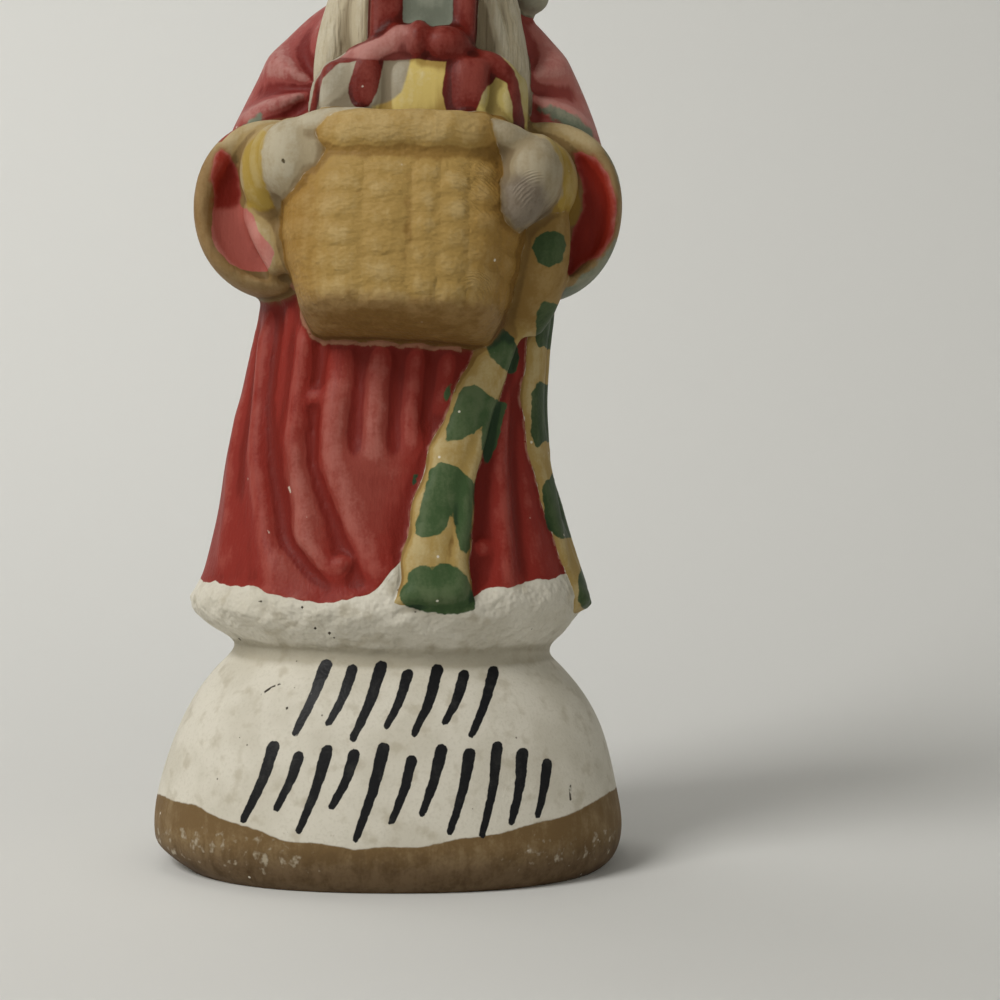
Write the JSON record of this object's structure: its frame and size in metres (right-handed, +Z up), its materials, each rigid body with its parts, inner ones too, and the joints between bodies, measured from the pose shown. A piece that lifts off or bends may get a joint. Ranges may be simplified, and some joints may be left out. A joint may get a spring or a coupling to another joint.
{
  "type": "santa claus figurine",
  "caption": "Standing Father Christmas in painted bisque with a long coat, a beard and a basket of parcels, cast in one piece with its mound-shaped base.",
  "frame": {"origin": "on the ground in the middle of the flat underside", "axes": "+Z up along the figure, -Y the way it faces, +X to the viewer's right"},
  "size_m": [0.0612, 0.0496, 0.1502],
  "materials": {
    "painted_bisque": "unglazed matt bisque, painted by hand in brick red, ochre, green, white and brown, a little worn"
  },
  "bodies": {
    "root": {"santa_figurine": "painted_bisque"}
  },
  "joints": []
}
